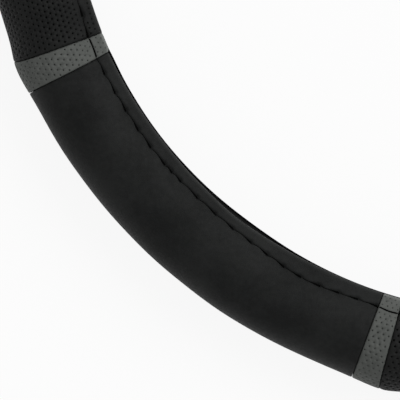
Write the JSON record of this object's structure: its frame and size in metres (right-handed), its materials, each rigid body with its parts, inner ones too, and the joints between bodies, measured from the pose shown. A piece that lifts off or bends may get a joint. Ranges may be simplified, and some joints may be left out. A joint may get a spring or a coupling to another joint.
{
  "type": "steering wheel cover",
  "caption": "Slip-on steering wheel cover: smooth and perforated leather panels and narrow grey bands sewn over a rubber ring with a C-shaped section.",
  "frame": {"origin": "middle of the ring, half way through its depth", "axes": "+Z along the ring's axis, out of the front face that turns to the driver; +X through the middle of a perforated panel"},
  "size_m": [0.385, 0.385, 0.035],
  "materials": {
    "smooth_leather": "matte, fine grain",
    "perforated_leather": "matte, fine grain, perforated",
    "grey_leather": "matte, fine grain, perforated",
    "core_rubber": "matte moulded",
    "stitching_thread": "twisted bonded thread"
  },
  "bodies": {
    "root": {"rubber_core_1": "core_rubber", "rubber_core_2": "core_rubber", "rubber_core_3": "core_rubber", "rubber_core_4": "core_rubber", "rubber_core_5": "core_rubber", "rubber_core_6": "core_rubber", "rubber_core_7": "core_rubber", "rubber_core_8": "core_rubber", "smooth_panel_1": "smooth_leather", "smooth_panel_2": "smooth_leather", "smooth_panel_3": "smooth_leather", "smooth_panel_4": "smooth_leather", "perforated_panel_1": "perforated_leather", "perforated_panel_2": "perforated_leather", "perforated_panel_3": "perforated_leather", "perforated_panel_4": "perforated_leather", "grey_band_1": "grey_leather", "grey_band_2": "grey_leather", "grey_band_3": "grey_leather", "grey_band_4": "grey_leather", "grey_band_5": "grey_leather", "grey_band_6": "grey_leather", "grey_band_7": "grey_leather", "grey_band_8": "grey_leather", "front_stitching": "stitching_thread", "rear_stitching": "stitching_thread"}
  },
  "joints": []
}
